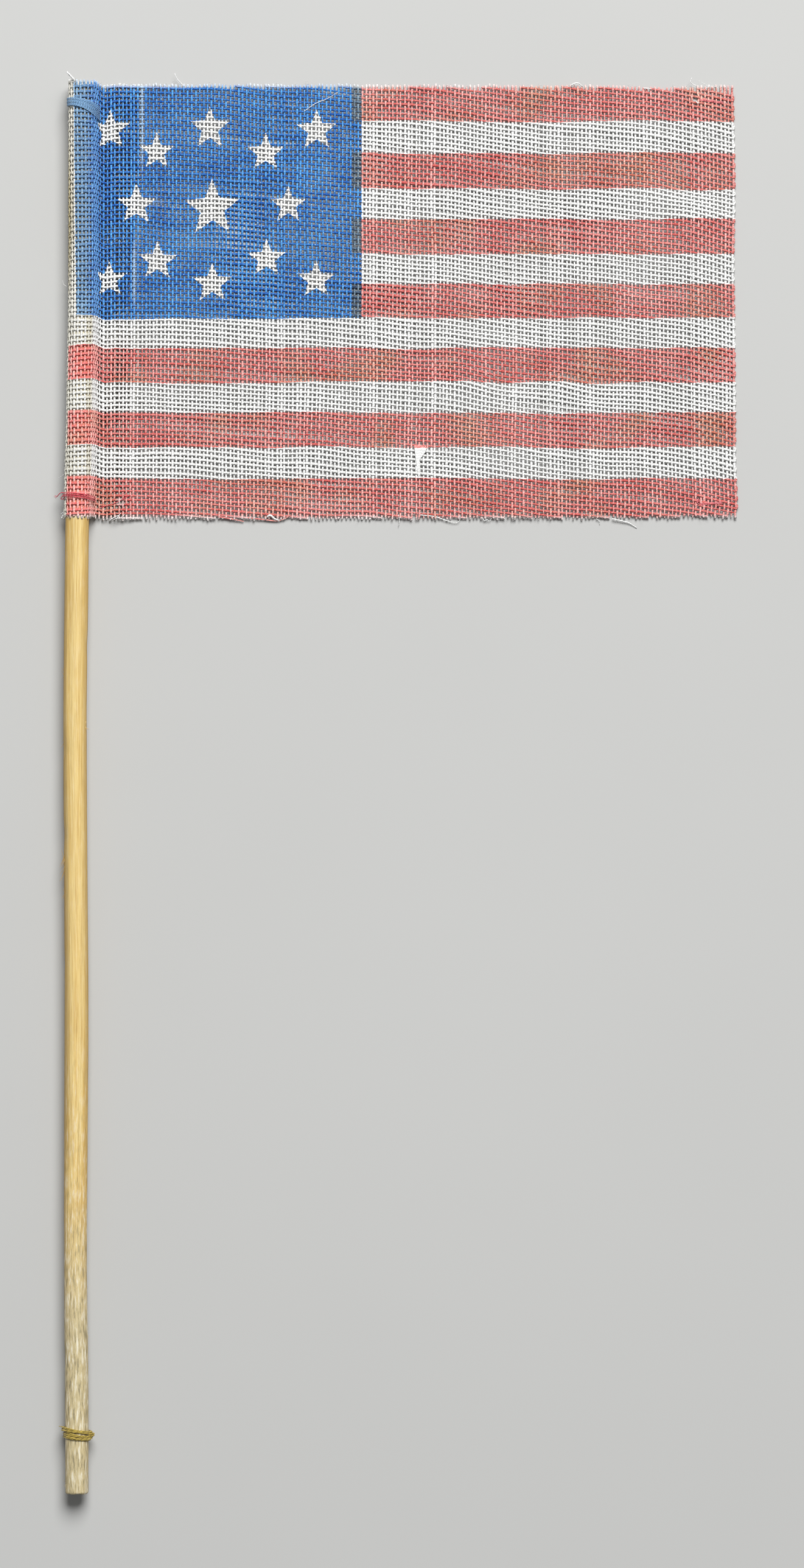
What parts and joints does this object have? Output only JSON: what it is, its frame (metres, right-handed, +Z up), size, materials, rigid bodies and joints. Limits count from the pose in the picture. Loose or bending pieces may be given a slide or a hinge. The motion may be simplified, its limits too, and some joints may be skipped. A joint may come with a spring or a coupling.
{
  "type": "frayed cotton hand flag on wooden stick",
  "caption": "Small striped and starred flag of open-weave printed cotton, sleeved and thread-tied round a slim wooden stick, lying flat.",
  "frame": {"origin": "centre of the bottom of the box, on the surface that the flag lies on", "axes": "+Y along the stick towards the flag's top edge, +X along the fly away from the stick, +Z up from the printed face"},
  "size_m": [0.1024, 0.2102, 0.0061],
  "materials": {
    "printed_cotton": "open-weave glazed cotton printed in red and blue, frayed at its raw edges",
    "wood": "bare straight-grained softwood, yellowed, grey towards the lower end",
    "blue_thread": "twisted cotton sewing thread",
    "red_thread": "twisted cotton sewing thread",
    "yellow_thread": "twisted cotton sewing thread"
  },
  "bodies": {
    "root": {"flag_cloth": "printed_cotton", "stick": "wood", "blue_tie": "blue_thread", "red_tie": "red_thread", "yellow_tie": "yellow_thread"}
  },
  "joints": []
}
